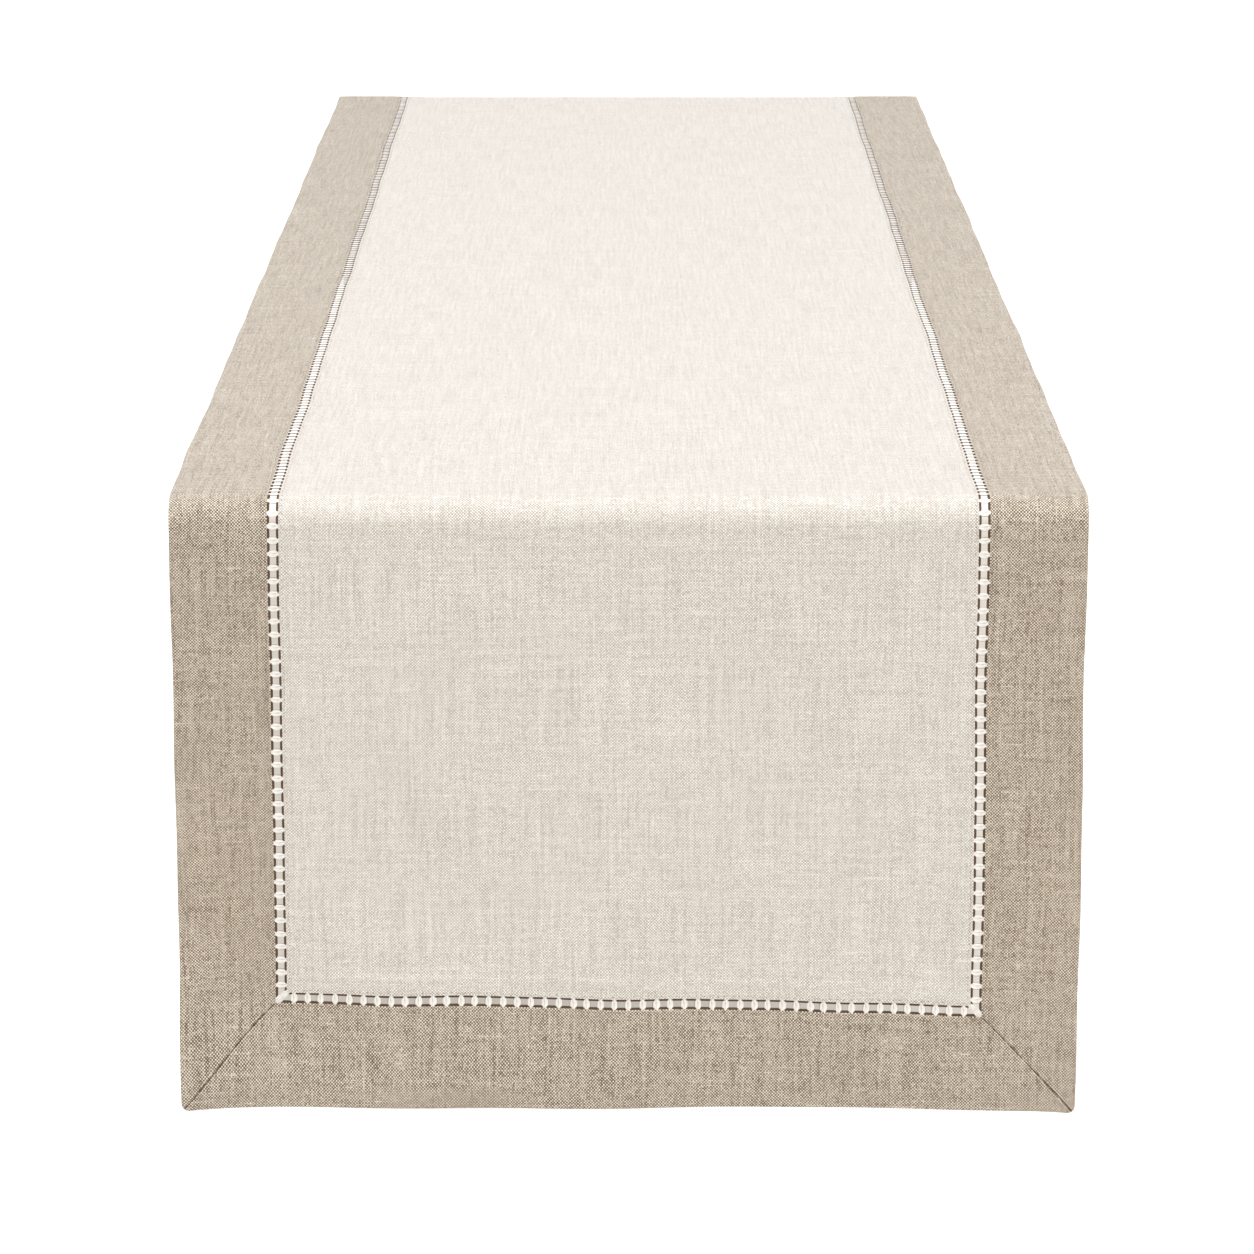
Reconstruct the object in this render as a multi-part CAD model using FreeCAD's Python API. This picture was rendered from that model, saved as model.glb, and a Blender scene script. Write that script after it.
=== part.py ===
import FreeCAD, Part
import math
import os

# A hemstitched linen table runner, draped over a table.
#
# Frame, in millimetres: the origin is the centre of the runner's underside on the tabletop, so the
# tabletop is the plane Z = 0. +Y runs along the runner to its rear end, +X across it, +Z up. The front
# drop hangs at -Y and the rear drop at +Y. Left is -X.
#
# Each piece is drawn flat first, the way it is cut and sewn: X across, Y along, and Z from the back face
# of the cloth (0) to its finished face. It is then laid along the path that the runner takes: flat on the
# table, round a bend at the table's edge, and straight down.

Vector = FreeCAD.Vector

# ---- driving dimensions -------------------------------------------------------------------------------

runner_length = 1828.8      # laid flat, hem to hem
runner_width = 406.4
drop_height = 286.0         # from the tabletop down to the end hem
bend_radius = 12.0          # at the middle of the thickness, where the runner turns down
cloth_thickness = 0.5       # one layer of linen

border_width = 44.45        # the folded border, on all four sides
ladder_width = 6.35         # the open hemstitching between border and panel
corner_radius = 2.5         # outer corners of the border
panel_hem_width = 8.0       # cloth turned under round the panel

rung_pitch = 6.35           # wanted spacing of the thread bundles; it is adjusted to fill each side
rung_waist = 2.1            # width of a bundle where it enters the cloth
rung_belly = 3.0            # width at its middle
rung_thickness = 0.8
corner_bar_width = 4.0      # the bundle that crosses each corner of the ladder

stitch_width = 0.6          # the row of hem stitches, as one flat line of thread
stitch_height = 0.3
stitch_inset = 0.9          # from the folded edge to the near side of the stitches
seam_width = 0.4            # the sewn gap between two mitred borders
seam_thickness = 0.6

drop_clearance = 0.3        # between a drop and the bend above it, so that the drop can swing

# ---- sizes that follow --------------------------------------------------------------------------------

double_thickness = 2.0 * cloth_thickness            # the folded border, and the panel's hem
mid_height = double_thickness / 2.0
bend_length = math.pi / 2.0 * bend_radius
hang_length = drop_height - (bend_radius - mid_height)      # straight part of a drop
span_half = runner_length / 2.0 - bend_length - hang_length     # flat on the table, each side of centre
half_width = runner_width / 2.0
ladder_outer = half_width - border_width            # X of the border's inner edge
panel_half = ladder_outer - ladder_width            # X of the panel's edge
hang_to_border = hang_length - border_width         # down the drop to the end border's inner edge
hang_to_panel = hang_to_border - ladder_width       # down the drop to the panel's end
panel_half_length = span_half + bend_length + hang_to_panel

ends = {"front": -1, "rear": 1}
sides = {"left": -1, "right": 1}


# ---- flat shapes --------------------------------------------------------------------------------------

def block(x_range, y_range, z_range):
    """A box between two limits along each axis, given in either order."""
    x_range, y_range, z_range = sorted(x_range), sorted(y_range), sorted(z_range)
    return Part.makeBox(
        x_range[1] - x_range[0],
        y_range[1] - y_range[0],
        z_range[1] - z_range[0],
        Vector(x_range[0], y_range[0], z_range[0]),
    )


def plate(outline, z_range):
    """A flat plate with this outline of (x, y) points."""
    points = [Vector(x, y, z_range[0]) for x, y in outline]
    face = Part.Face(Part.makePolygon(points + points[:1]))
    return face.extrude(Vector(0, 0, z_range[1] - z_range[0]))


def join(shapes):
    """Touching shapes of one cloth, as one solid."""
    return shapes[0].fuse(shapes[1:]).removeSplitter()


def mirrored(outline, side):
    """The outline of a right-hand piece, drawn for this side."""
    return [(side * x, y) for x, y in outline]


# ---- the path over the table --------------------------------------------------------------------------

def turned_to(end):
    """Turns a piece of the rear half to this end of the runner."""
    half_turn = 0.0 if end > 0 else 180.0
    return FreeCAD.Placement(Vector(), FreeCAD.Rotation(Vector(0, 0, 1), half_turn))


def hung(distance_down):
    """Carries a flat piece, drawn at Y = 0, to this distance down the rear drop."""
    out = span_half + bend_radius - mid_height
    down = mid_height - bend_radius - distance_down
    return FreeCAD.Placement(Vector(0, out, down), FreeCAD.Rotation(Vector(1, 0, 0), -90.0))


def along_path(distance):
    """Carries a small flat piece, drawn at Y = 0, to this distance along the runner from its centre."""
    if distance <= span_half:
        return FreeCAD.Placement(Vector(0, distance, 0), FreeCAD.Rotation())
    if distance >= span_half + bend_length:
        return hung(distance - span_half - bend_length)
    angle = math.degrees((distance - span_half) / bend_radius)
    to_tangent = FreeCAD.Placement(Vector(0, span_half, 0), FreeCAD.Rotation())
    turn = FreeCAD.Rotation(Vector(1, 0, 0), -angle)
    round_bend = FreeCAD.Placement(Vector(), turn, Vector(0, span_half, mid_height - bend_radius))
    return round_bend.multiply(to_tangent)


def placed(shape, placement, end):
    """A copy of a flat shape, laid along the rear path and turned to its end."""
    moved = shape.copy()
    moved.Placement = turned_to(end).multiply(placement).multiply(shape.Placement)
    return moved


def bent(x_range, z_range, end):
    """A strip that follows the whole bend at one end."""
    low, high = z_range
    corners = [(x_range[0], low), (x_range[1], low), (x_range[1], high), (x_range[0], high)]
    points = [Vector(x, span_half, z) for x, z in corners]
    section = Part.Face(Part.makePolygon(points + points[:1]))
    centre = Vector(0, span_half, mid_height - bend_radius)
    strip = section.revolve(centre, Vector(1, 0, 0), -90.0)
    return placed(strip, FreeCAD.Placement(), end)


# ---- the cloth: panel and borders ---------------------------------------------------------------------

layer = (0.0, cloth_thickness)
double_layer = (0.0, double_thickness)
side_border = (ladder_outer, half_width)
panel_hem = (panel_half - panel_hem_width, panel_half)


def times(pair, factor):
    return (pair[0] * factor, pair[1] * factor)


def top_panel():
    """The panel on the table: one layer, doubled by its hem along both sides."""
    along = (-span_half, span_half)
    cloth = block((-panel_half, panel_half), along, layer)
    hems = [block(times(panel_hem, side), along, double_layer) for side in sides.values()]
    return join([cloth] + hems)


def bend_panel(end):
    """The panel round the table's edge."""
    cloth = bent((-panel_half, panel_half), layer, end)
    hems = [bent(times(panel_hem, side), double_layer, end) for side in sides.values()]
    return join([cloth] + hems)


def drop_panel(end):
    """The panel on a drop, hemmed along both sides and across its end."""
    down = (drop_clearance, hang_to_panel)
    cloth = block((-panel_half, panel_half), down, layer)
    hems = [block(times(panel_hem, side), down, double_layer) for side in sides.values()]
    end_hem = (hang_to_panel - panel_hem_width, hang_to_panel)
    hems.append(block((-panel_half, panel_half), end_hem, double_layer))
    return placed(join([cloth] + hems), hung(0), end)


def top_border(side):
    """A side border on the table."""
    return block(times(side_border, side), (-span_half, span_half), double_layer)


def bend_border(side, end):
    """A side border round the table's edge."""
    return bent(times(side_border, side * end), double_layer, end)


def rounded_drop():
    """The outline of a drop, with its rounded lower corners, as a thick plate."""
    plain = block((-half_width, half_width), (0, hang_length), double_layer)
    lower_corners = [
        edge
        for edge in plain.Edges
        if edge.BoundBox.ZLength > mid_height and edge.BoundBox.YMin > hang_length / 2.0
    ]
    return plain.makeFillet(corner_radius, lower_corners)


def drop_side_border(side, end):
    """A side border on a drop, cut to a mitre at its lower end."""
    half_seam = seam_width / math.sqrt(2.0)     # the seam's half width, measured along the drop
    outline = [
        (ladder_outer, drop_clearance),
        (half_width, drop_clearance),
        (half_width, hang_length - half_seam),
        (ladder_outer, hang_to_border - half_seam),
    ]
    strip = plate(mirrored(outline, side * end), double_layer)
    return placed(strip.common(rounded_drop()), hung(0), end)


def drop_end_border(end):
    """The border across the end of a drop, cut to a mitre at both ends."""
    half_seam = seam_width / math.sqrt(2.0)
    outline = [
        (-half_width + half_seam, hang_length),
        (-ladder_outer + half_seam, hang_to_border),
        (ladder_outer - half_seam, hang_to_border),
        (half_width - half_seam, hang_length),
    ]
    strip = plate(outline, double_layer)
    return placed(strip.common(rounded_drop()), hung(0), end)


def mitre_seam(side, end):
    """The seam that joins a side border to the end border, from the ladder out to the corner."""
    half_seam = seam_width / math.sqrt(2.0)
    tip = corner_radius * (1.0 - 1.0 / math.sqrt(2.0)) + half_seam    # short of the rounded corner
    outline = [
        (ladder_outer, hang_to_border - half_seam),
        (ladder_outer, hang_to_border),
        (ladder_outer - half_seam, hang_to_border),
        (half_width - tip - half_seam, hang_length - tip),
        (half_width - tip, hang_length - tip),
        (half_width - tip, hang_length - tip - half_seam),
    ]
    low = mid_height - seam_thickness / 2.0
    seam = plate(mirrored(outline, side * end), (low, low + seam_thickness))
    return placed(seam, hung(0), end)


# ---- the open ladder ----------------------------------------------------------------------------------

rung_range = (mid_height - rung_thickness / 2.0, mid_height + rung_thickness / 2.0)


def rung(length):
    """A bundle of threads across the ladder, along X from 0, widest at its middle."""
    waist, belly = rung_waist / 2.0, rung_belly / 2.0
    outline = [(0, -waist), (length / 2.0, -belly), (length, -waist)]
    outline += [(x, -y) for x, y in reversed(outline)]
    return plate(outline, rung_range)


def side_rungs(side, end, first, last):
    """The bundles of one side ladder whose centres lie between two distances from the centre."""
    count = max(1, round(panel_half_length / rung_pitch))
    step = panel_half_length / count
    bundle = rung(ladder_width)
    bundle.translate(Vector(panel_half if side * end > 0 else -ladder_outer, 0, 0))
    centres = [(index + 0.5) * step for index in range(count)]
    return [placed(bundle, along_path(at), end) for at in centres if first < at <= last]


def top_ladder(side):
    """The side ladder on the table: both halves, from the centre out."""
    return Part.makeCompound([r for end in ends.values() for r in side_rungs(side, end, 0, span_half)])


def bend_ladder(side, end):
    """The side ladder round the table's edge."""
    return Part.makeCompound(side_rungs(side, end, span_half, span_half + bend_length))


def drop_ladder(side, end):
    """The side ladder on a drop."""
    start = span_half + bend_length
    return Part.makeCompound(side_rungs(side, end, start, panel_half_length))


def end_ladder(end):
    """The ladder across a drop, between the panel's end and the end border."""
    count = max(1, round(2.0 * panel_half / rung_pitch))
    step = 2.0 * panel_half / count
    bundles = []
    for index in range(count):
        bundle = rung(ladder_width)
        bundle.rotate(Vector(), Vector(0, 0, 1), 90.0)
        bundle.translate(Vector(-panel_half + (index + 0.5) * step, hang_to_panel, 0))
        bundles.append(placed(bundle, hung(0), end))
    return Part.makeCompound(bundles)


def corner_bar(side, end):
    """The bundle that crosses a corner of the ladder, from the panel's corner to the mitre."""
    shoulder = corner_bar_width / math.sqrt(2.0)
    corner = [(0, 0), (shoulder, 0), (ladder_width, ladder_width - shoulder)]
    corner += [(ladder_width, ladder_width), (ladder_width - shoulder, ladder_width), (0, shoulder)]
    outline = [(panel_half + x, hang_to_panel + y) for x, y in corner]
    return placed(plate(mirrored(outline, side * end), rung_range), hung(0), end)


# ---- hem stitches, on the finished face ---------------------------------------------------------------

stitch_range = (double_thickness, double_thickness + stitch_height)
stitch_reach = stitch_inset + stitch_width
stitch_rows = {
    "border": (ladder_outer + stitch_inset, ladder_outer + stitch_reach),
    "panel": (panel_half - stitch_reach, panel_half - stitch_inset),
}
stitch_end_rows = {
    "border": (hang_to_border + stitch_inset, hang_to_border + stitch_reach),
    "panel": (hang_to_panel - stitch_reach, hang_to_panel - stitch_inset),
}


def top_stitching(row, side):
    """A row of hem stitches on the table."""
    return block(times(stitch_rows[row], side), (-span_half, span_half), stitch_range)


def bend_stitching(end):
    """The four rows of hem stitches round the table's edge."""
    rows = [times(stitch_rows[row], side) for row in stitch_rows for side in sides.values()]
    return Part.makeCompound([bent(row, stitch_range, end) for row in rows])


def drop_side_stitching(row, side, end):
    """A row of hem stitches down a drop, as far as the row across its end."""
    down = (drop_clearance, stitch_end_rows[row][0])
    thread = block(times(stitch_rows[row], side * end), down, stitch_range)
    return placed(thread, hung(0), end)


def drop_end_stitching(row, end):
    """A row of hem stitches across a drop, out to the rows down its sides."""
    reach = max(abs(x) for x in stitch_rows[row])
    thread = block((-reach, reach), stitch_end_rows[row], stitch_range)
    return placed(thread, hung(0), end)


# ---- every sub-part -----------------------------------------------------------------------------------

def sub_parts():
    """Each node's name and its shape."""
    parts = {"top_panel": top_panel()}
    for side_name, side in sides.items():
        parts[f"top_{side_name}_border"] = top_border(side)
        parts[f"top_{side_name}_ladder"] = top_ladder(side)
        for row in stitch_rows:
            parts[f"top_{side_name}_{row}_stitching"] = top_stitching(row, side)
    for end_name, end in ends.items():
        bend, drop = f"{end_name}_bend", f"{end_name}_drop"
        parts[f"{bend}_panel"] = bend_panel(end)
        parts[f"{bend}_stitching"] = bend_stitching(end)
        parts[f"{drop}_panel"] = drop_panel(end)
        parts[f"{drop}_end_border"] = drop_end_border(end)
        parts[f"{drop}_end_ladder"] = end_ladder(end)
        for side_name, side in sides.items():
            parts[f"{bend}_{side_name}_border"] = bend_border(side, end)
            parts[f"{bend}_{side_name}_ladder"] = bend_ladder(side, end)
            parts[f"{drop}_{side_name}_border"] = drop_side_border(side, end)
            parts[f"{drop}_{side_name}_ladder"] = drop_ladder(side, end)
            parts[f"{drop}_{side_name}_corner_bar"] = corner_bar(side, end)
            parts[f"{drop}_{side_name}_mitre_seam"] = mitre_seam(side, end)
        for row in stitch_rows:
            parts[f"{drop}_end_{row}_stitching"] = drop_end_stitching(row, end)
            for side_name, side in sides.items():
                parts[f"{drop}_{side_name}_{row}_stitching"] = drop_side_stitching(row, side, end)
    return parts


os.makedirs("parts", exist_ok=True)
for name, shape in sub_parts().items():
    shape.exportStep(f"parts/{name}.step")
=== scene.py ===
import math

import bmesh
import bpy
import numpy as np
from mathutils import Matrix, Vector


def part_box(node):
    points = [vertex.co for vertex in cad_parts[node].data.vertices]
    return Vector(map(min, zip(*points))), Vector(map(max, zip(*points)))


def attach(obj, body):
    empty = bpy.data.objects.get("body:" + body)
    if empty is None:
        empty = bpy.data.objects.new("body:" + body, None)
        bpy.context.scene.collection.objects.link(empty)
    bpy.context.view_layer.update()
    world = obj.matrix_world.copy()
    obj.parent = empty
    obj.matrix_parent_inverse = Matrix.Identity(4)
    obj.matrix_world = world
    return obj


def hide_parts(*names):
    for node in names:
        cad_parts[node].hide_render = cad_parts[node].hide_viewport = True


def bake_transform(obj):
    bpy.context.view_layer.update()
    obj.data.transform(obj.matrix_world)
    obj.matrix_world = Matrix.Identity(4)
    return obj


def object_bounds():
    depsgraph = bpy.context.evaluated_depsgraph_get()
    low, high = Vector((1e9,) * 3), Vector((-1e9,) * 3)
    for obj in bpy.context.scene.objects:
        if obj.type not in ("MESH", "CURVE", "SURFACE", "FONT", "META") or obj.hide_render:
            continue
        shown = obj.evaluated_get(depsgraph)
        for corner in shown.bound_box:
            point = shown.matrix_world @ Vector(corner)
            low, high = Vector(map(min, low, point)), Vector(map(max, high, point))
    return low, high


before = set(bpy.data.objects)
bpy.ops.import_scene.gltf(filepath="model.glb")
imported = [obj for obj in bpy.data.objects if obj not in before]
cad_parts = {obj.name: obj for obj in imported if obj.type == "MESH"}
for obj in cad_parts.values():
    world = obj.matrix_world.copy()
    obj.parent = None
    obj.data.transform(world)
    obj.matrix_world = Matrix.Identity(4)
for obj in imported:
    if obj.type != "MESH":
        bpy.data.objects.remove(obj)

# A hemstitched linen table runner draped over a table. Every piece is made flat, in the cloth's own
# coordinates, and then laid on the path that the cloth takes over the table:
#   across  metres from the runner's centre line, + to the right
#   along   metres from its middle, + towards the rear end and - towards the front end
#   height  metres from the back face of the cloth, up through its thickness
# Pieces that cross a table edge are split at the runner's middle, so each crosses one edge only.

MM = 0.001
ROOT_TWO = math.sqrt(2.0)

cad_low, cad_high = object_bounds()
panel_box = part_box("top_panel")
border_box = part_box("top_right_border")
bend_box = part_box("rear_bend_right_border")
end_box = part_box("rear_drop_end_border")

BORDER_BACK = 1.0 * MM      # the border's rolled lip stands this far back from its CAD edge
PANEL_OUT = 2.4 * MM        # the panel's rolled lip reaches this far past its CAD edge

THICKNESS = border_box[1].z - border_box[0].z       # a folded border, or a hem
MIDDLE = THICKNESS / 2                              # height of the fold lines and of the ladder
SPAN = panel_box[1].y                               # half the length that lies flat on the table
RADIUS = bend_box[1].y - SPAN - MIDDLE              # of the bend at the table's edge
BEND = math.pi / 2 * RADIUS
HANG = -end_box[0].z - (RADIUS - MIDDLE)            # straight length of a drop
LENGTH = SPAN + BEND + HANG                         # half the runner's length, laid flat
HALF = border_box[1].x                              # half its width
BORDER_X = border_box[0].x + BORDER_BACK            # the border's inner edge
PANEL_X = panel_box[1].x + PANEL_OUT                # the panel's edge
BORDER_END = LENGTH - (HALF - BORDER_X)
PANEL_END = LENGTH - (HALF - PANEL_X)

RUNG_PITCH = 6.35 * MM
CLOTH = 0.45 * MM           # one layer of linen
GAP = 0.03 * MM             # between the two layers of a fold
HEM = 8.0 * MM              # cloth turned under round the panel
CORNER = 3.8 * MM           # radius of the border's outer corners
CREASE = 3.0 * MM           # how far the panel takes to settle beside its hem

ENDS = {"front": -1, "rear": 1}
SIDES = {"left": -1, "right": 1}


# ---- how the cloth lies -------------------------------------------------------------------------------

# How uneven the cloth is, as the photograph shows it.
EDGE_STRAY = 0.45 * MM      # the long lines, in and out
LINE_STRAY = 0.35 * MM      # the long lines, all to one side
HEM_SHORT = 3.8 * MM        # the end of the runner falls this far short of its length,
HEM_LEAN = 0.6 * MM         # further on the left than on the right,
HEM_TIPS = 2.6 * MM         # less far at its two corners,
HEM_STRAY = 0.6 * MM        # and unevenly
LADDER_SHORT = 4.2 * MM     # the ladder across the end falls this far short on top of that,
LADDER_LEAN = 3.5 * MM      # further on the left than on the right,
LADDER_STRAY = 0.3 * MM     # and unevenly
FLARE = 5.0 * MM            # how far the foot of a drop stands out
DROP_FOLDS = 2.2 * MM       # depth of a drop's wide folds, at its foot
DROP_WAVES = 0.7 * MM       # depth of its small waves, which start close below the bend
RELIEF = 0.25 * MM          # how far the cloth lifts off the table here and there
HEM_SHIFT = 0.1             # metres: these two make the front end and the rear end differ
FOLD_SHIFT = 0.07
TINY = 1e-12                # keeps a division by zero out


def smooth(value):
    """0 below 0, 1 above 1, and an even curve between them."""
    t = np.clip(value, 0.0, 1.0)
    return t * t * (3.0 - 2.0 * t)


def ripple(position, lengths, seed):
    """A gentle uneven wave, between about -1 and 1, made of waves of these lengths in metres."""
    phases = np.random.default_rng(seed).uniform(0.0, 2.0 * math.pi, len(lengths))
    waves = [np.sin(2.0 * math.pi * position / size + phase) for size, phase in zip(lengths, phases)]
    return sum(waves) / len(lengths)


def strayed(across, along):
    """The cloth's own unevenness: its lines are not quite straight or square."""
    end, distance, u = np.sign(along), np.abs(along), across / HALF
    side = EDGE_STRAY * ripple(along, (0.31, 0.13, 0.071), 3) * u
    side = side + LINE_STRAY * ripple(along, (0.47, 0.19), 4)
    at_hem = smooth((distance - SPAN) / (LENGTH - SPAN))
    hem = -HEM_SHORT + HEM_LEAN * u + HEM_TIPS * np.abs(u) ** 10
    hem = hem + HEM_STRAY * ripple(across + HEM_SHIFT * end, (0.46, 0.17, 0.09), 5)
    at_ladder = smooth((distance - SPAN) / (PANEL_END - SPAN))
    at_ladder = at_ladder * (1.0 - smooth((distance - BORDER_END) / (LENGTH - BORDER_END)))
    ladder = -LADDER_SHORT + LADDER_LEAN * u + LADDER_STRAY * ripple(across, (0.11, 0.05), 6)
    return across + side, along + end * (at_hem * hem + at_ladder * ladder)


def sway(across, along):
    """How far the cloth stands off its plain path."""
    end = np.sign(along)
    depth = np.abs(along) - SPAN - BEND
    down = smooth(depth / HANG)
    folds = DROP_FOLDS * down * ripple(across + FOLD_SHIFT * end, (0.33, 0.21, 0.12), 7)
    waves = DROP_WAVES * smooth(depth / (0.2 * HANG)) * ripple(along + across, (0.19, 0.11), 8)
    relief = RELIEF * (1.0 + ripple(across, (0.17, 0.09), 9) * ripple(along, (0.23, 0.13), 10))
    on_table = smooth(-depth / (4.0 * BEND))
    return FLARE * down + folds + waves + relief * on_table


def lay(across, along, height):
    """Points of the cloth, laid over the table, as one (n, 3) array."""
    across, along = strayed(across, along)
    end, distance = np.sign(along), np.abs(along)
    angle = np.clip((distance - SPAN) / RADIUS, 0.0, math.pi / 2)
    down = np.maximum(distance - SPAN - BEND, 0.0)
    out = height - MIDDLE + sway(across, along)
    y = np.minimum(distance, SPAN) + (RADIUS + out) * np.sin(angle)
    z = MIDDLE - RADIUS - down + (RADIUS + out) * np.cos(angle)
    return np.stack([across, end * y, z], axis=-1).reshape(-1, 3)


def rounded(across, along):
    """Rounds the border's outer corners."""
    a = np.maximum(np.abs(across) - (HALF - CORNER), 0.0)
    b = np.maximum(np.abs(along) - (LENGTH - CORNER), 0.0)
    reach = np.hypot(a, b)
    shrink = np.where(reach > 0.0, 1.0 - np.maximum(a, b) / np.maximum(reach, TINY), 0.0)
    both = (a > 0.0) & (b > 0.0)
    across = np.where(both, across - np.sign(across) * a * shrink, across)
    along = np.where(both, along - np.sign(along) * b * shrink, along)
    return across, along


# ---- making meshes ------------------------------------------------------------------------------------

FLAT_ROWS = 7 * MM          # spacing of a mesh's rows on the table,
BEND_ROWS = 1.6 * MM        # round the bend,
DROP_ROWS = 6 * MM          # and down a drop
HEM_ROWS = 0.8 * MM         # and beside a hem
PLIES = 5                   # ridges round a bundle of threads
AT_CUT = 0.001 * MM         # a point this close to the runner's middle lies on the cut there


def lines(*stretches):
    """Places along a line, from (start, stop, spacing) stretches that follow each other."""
    found = [np.linspace(a, b, max(1, round((b - a) / gap)), endpoint=False) for a, b, gap in stretches]
    return np.append(np.concatenate(found), stretches[-1][1])


def over_the_bend(flat_rows, finish, drop_rows):
    """Stretches from the runner's middle to a place on the drop, close together round the bend."""
    before, after = SPAN - BEND, SPAN + 2 * BEND
    return (0.0, before, flat_rows), (before, after, BEND_ROWS), (after, finish, drop_rows)


def faces_over(grid):
    """Quads over a grid of vertex numbers."""
    corners = [grid[:-1, :-1], grid[1:, :-1], grid[1:, 1:], grid[:-1, 1:]]
    return np.stack([corner.ravel() for corner in corners], axis=-1)


def slab(across, along, low, high):
    """One layer of cloth over a grid of places: its (points, faces, cloth coordinates)."""
    shape = np.broadcast_shapes(across.shape, along.shape)
    across, along = np.broadcast_to(across, shape), np.broadcast_to(along, shape)
    cloth = np.stack([across, along, np.zeros(shape)], axis=-1).reshape(-1, 3)
    a, s = rounded(across, along)
    points = np.concatenate([lay(a, s, high), lay(a, s, low)])
    top = np.arange(across.size).reshape(shape)
    rim = np.concatenate([top[:-1, 0], top[-1, :-1], top[:0:-1, -1], top[0, ::-1]])
    wall = np.stack([rim, rim + across.size])
    faces = np.concatenate([faces_over(top), faces_over(top + across.size), faces_over(wall)])
    return points, faces, np.concatenate([cloth, cloth])


def strand(a, s, height, wide, tall, sides, lobes=0.0, turn=0.0, deep=1.0):
    """A thread or a bundle of threads along a line of places, closed at both ends.
    wide and tall are its half sizes at each place, lobes is the depth of the grooves between its
    plies, turn says where the grooves lie, and deep how much further it reaches down than up."""
    step_a, step_s = np.gradient(a), np.gradient(s)
    size = np.hypot(step_a, step_s)
    angle = 2.0 * math.pi * np.arange(sides) / sides
    swell = 1.0 + lobes * np.cos(PLIES * angle + turn)
    out = wide[:, None] * np.cos(angle) * swell
    up = tall[:, None] * np.sin(angle) * swell * np.where(angle > math.pi, deep, 1.0)
    across = a[:, None] - (step_s / size)[:, None] * out
    along = s[:, None] + (step_a / size)[:, None] * out
    travelled = np.broadcast_to(np.cumsum(size)[:, None], out.shape)
    cloth = np.stack([travelled, out, up], axis=-1).reshape(-1, 3)
    grid = np.arange(across.size).reshape(across.shape)
    tube = faces_over(np.concatenate([grid, grid[:, :1]], axis=1))
    caps = []
    for ring in (grid[0], grid[-1]):
        caps += [[ring[i], ring[i + 1], ring[-2 - i], ring[-1 - i]] for i in range(sides // 2 - 1)]
    return lay(across, along, height[:, None] + up), np.concatenate([tube, caps]), cloth


def piece(name, parts, material):
    """One smooth-shaded piece made of closed layers or threads."""
    starts = np.cumsum([0] + [len(part[0]) for part in parts[:-1]])
    points = np.concatenate([part[0] for part in parts])
    faces = np.concatenate([part[1] + start for part, start in zip(parts, starts)])
    cloth = np.concatenate([part[2] for part in parts])
    mesh = bpy.data.meshes.new(name)
    mesh.from_pydata(points.tolist(), [], faces.tolist())
    outward(mesh)
    mark_cut(mesh)
    mesh.attributes.new("cloth", "FLOAT_VECTOR", "POINT").data.foreach_set("vector", cloth.ravel())
    mesh.shade_smooth()
    mesh.materials.append(material)
    made = bpy.data.objects.new(name, mesh)
    bpy.context.collection.objects.link(made)
    return made


def mark_cut(mesh):
    """Keeps the flat cut at the runner's middle out of the smooth shading."""
    y = np.array([vertex.co.y for vertex in mesh.vertices])
    ends = np.zeros(2 * len(mesh.edges), dtype=int)
    mesh.edges.foreach_get("vertices", ends)
    cut = (np.abs(y[ends]) < AT_CUT).reshape(-1, 2).all(axis=1)
    mesh.attributes.new("sharp_edge", "BOOLEAN", "EDGE").data.foreach_set("value", cut)


def outward(mesh):
    """Turns every face outward."""
    shape = bmesh.new()
    shape.from_mesh(mesh)
    bmesh.ops.recalc_face_normals(shape, faces=shape.faces)
    shape.to_mesh(mesh)
    shape.free()


# ---- how a piece moves --------------------------------------------------------------------------------

def over_edge(made, end_name, *nodes):
    """The piece crosses the table's edge at this end, and stays where it was laid."""
    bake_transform(made)
    if nodes:
        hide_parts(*nodes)


def on_drop(made, end_name, *nodes):
    """The piece is wholly on the drop at this end."""
    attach(made, f"{end_name}_drop")
    if nodes:
        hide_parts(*nodes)


# ---- materials ----------------------------------------------------------------------------------------

THREAD = 0.7 * MM           # spacing of the linen's threads
LINEN_RELIEF = 0.11 * MM    # height of the bumps in the linen's surface,
THREAD_RELIEF = 0.12 * MM   # and in the sewing thread's
SHINE = 0.3                 # specular level for each part of sheen
SHEEN_ROUGHNESS = 0.65
SHEEN_TINT = (1.0, 0.98, 0.965, 1.0)
WANDERS = ((0.022, 3.0), (0.4, 0.75))       # how threads stray: (scale of a noise, threads it moves them by)
SLUB = (0.68, 0.76)         # noise at which a thicker length of thread starts, and is at its thickest
PAINTED_SHADE_OUT = (0.85 * MM, 1.25 * MM)      # painted shade: a bundle is darkened between these places, out from its middle
PAINTED_SHADE_UP = (0.12 * MM, -0.02 * MM)      # and up from it, low on its sides


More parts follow.
